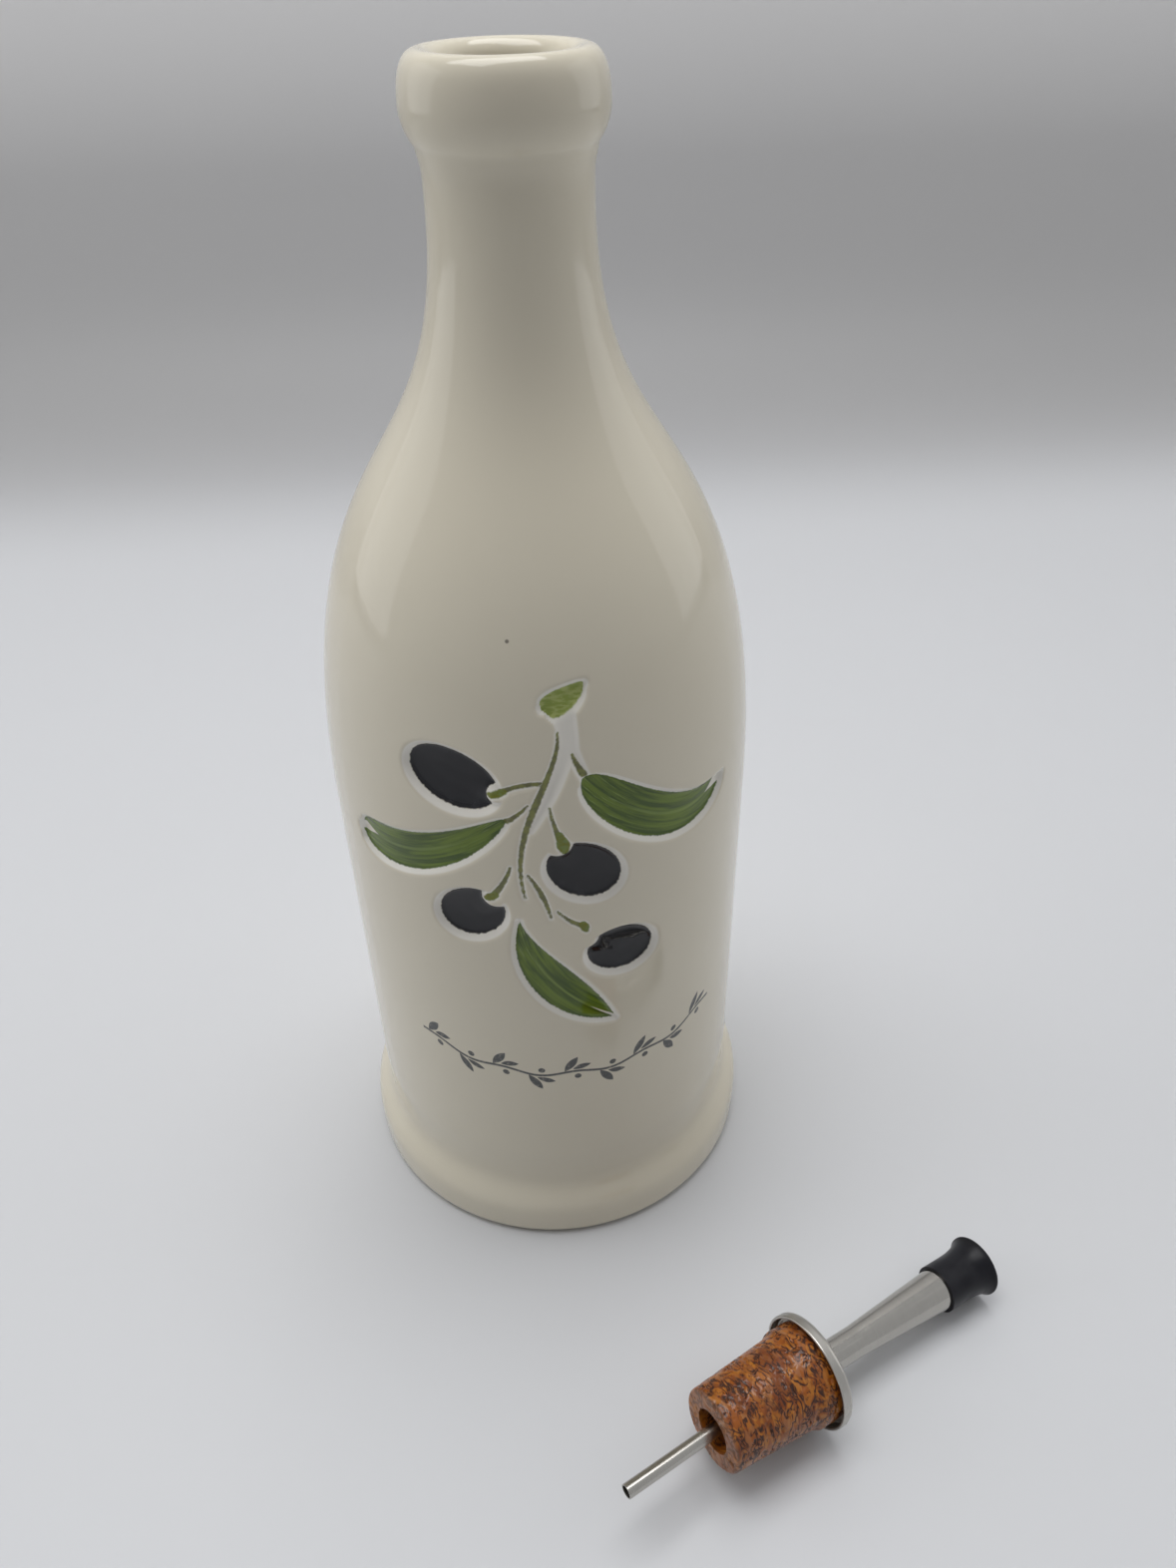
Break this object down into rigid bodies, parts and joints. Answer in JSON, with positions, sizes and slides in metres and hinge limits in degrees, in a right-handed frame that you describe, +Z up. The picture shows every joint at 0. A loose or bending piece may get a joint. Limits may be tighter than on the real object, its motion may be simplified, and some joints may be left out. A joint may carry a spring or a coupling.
{
  "type": "ceramic olive oil bottle with cork pourer",
  "caption": "Tall round ceramic oil bottle with a long shoulder, slim neck and rolled lip, and its cork and steel pourer lying beside it.",
  "frame": {"origin": "centre of the bottle's flat base, on the surface that the bottle and the pourer stand on", "axes": "+Z up along the bottle's axis; -Y is the decorated front of the bottle; the pourer lies in front, its spout pointing to +X and a little to +Y"},
  "size_m": [0.1728, 0.1941, 0.29],
  "materials": {
    "glaze": "glossy ivory glaze",
    "cork": "lacquered pressed cork",
    "steel": "satin stainless steel",
    "cap": "satin black"
  },
  "bodies": {
    "root": {"bottle": "glaze", "pourer_cork": "cork", "pourer_collar": "steel", "pourer_spout": "steel", "pourer_air_tube": "steel", "pourer_cap": "cap"}
  },
  "joints": []
}
